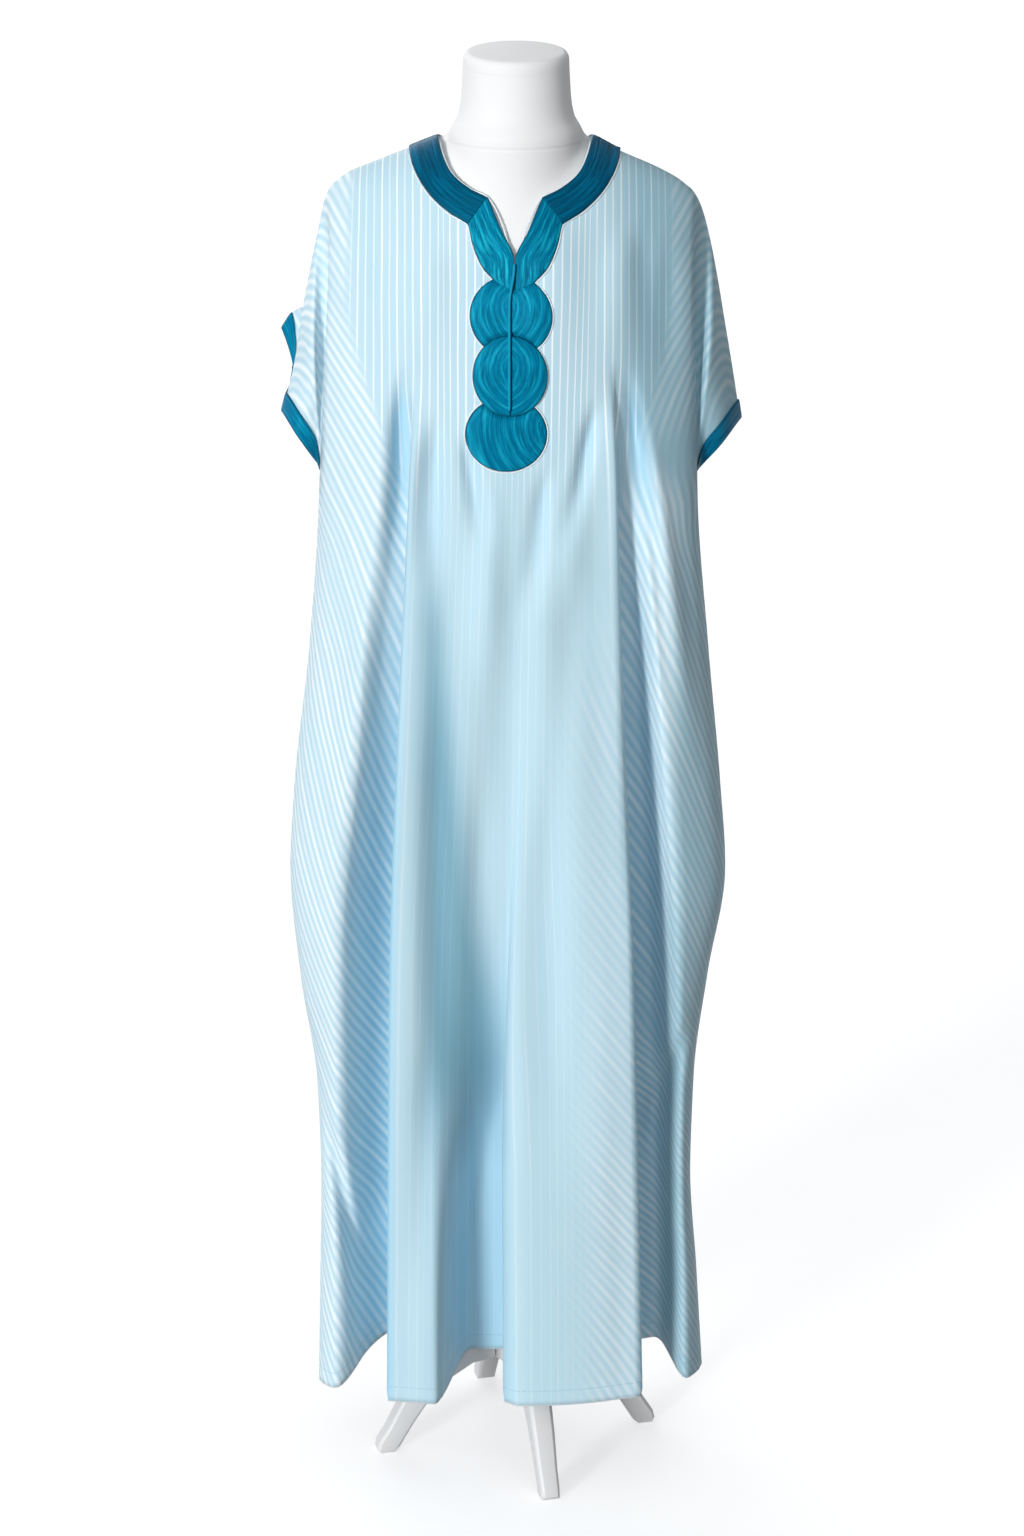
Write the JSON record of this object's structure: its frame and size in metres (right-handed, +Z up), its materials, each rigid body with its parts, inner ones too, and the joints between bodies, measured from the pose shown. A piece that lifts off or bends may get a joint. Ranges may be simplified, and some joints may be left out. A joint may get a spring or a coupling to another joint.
{
  "type": "gandoura gown on a limbless dress form",
  "caption": "Loose ankle-length gandoura in striped satin cotton with a round slit neck, cap sleeves, teal bands and embroidered discs, hanging on a limbless dress form on a low stand.",
  "frame": {"origin": "on the floor, at the middle of the box round the whole part", "axes": "+Z up; the gown's front and its neck slit face -Y; +X is the viewer's right"},
  "size_m": [0.4834, 0.32, 1.5731],
  "materials": {
    "cloth": "satin stripe weave",
    "trim": "rayon thread embroidery",
    "form": "matte jersey over foam",
    "stand": "satin powder coat"
  },
  "bodies": {
    "root": {"front_panel": "cloth", "back_panel": "cloth", "neck_band_left": "trim", "neck_band_right": "trim", "neck_band_back": "trim", "slit_band_left": "trim", "slit_band_right": "trim", "cuff_left_front": "trim", "cuff_left_back": "trim", "cuff_right_front": "trim", "cuff_right_back": "trim", "disc_top_left": "trim", "disc_top_right": "trim", "disc_middle_left": "trim", "disc_middle_right": "trim", "disc_bottom": "trim", "form_torso": "form", "form_neck_cap": "form", "stand_pole": "stand", "stand_hub": "stand", "stand_leg_1": "stand", "stand_leg_2": "stand", "stand_leg_3": "stand", "stand_leg_4": "stand"}
  },
  "joints": []
}
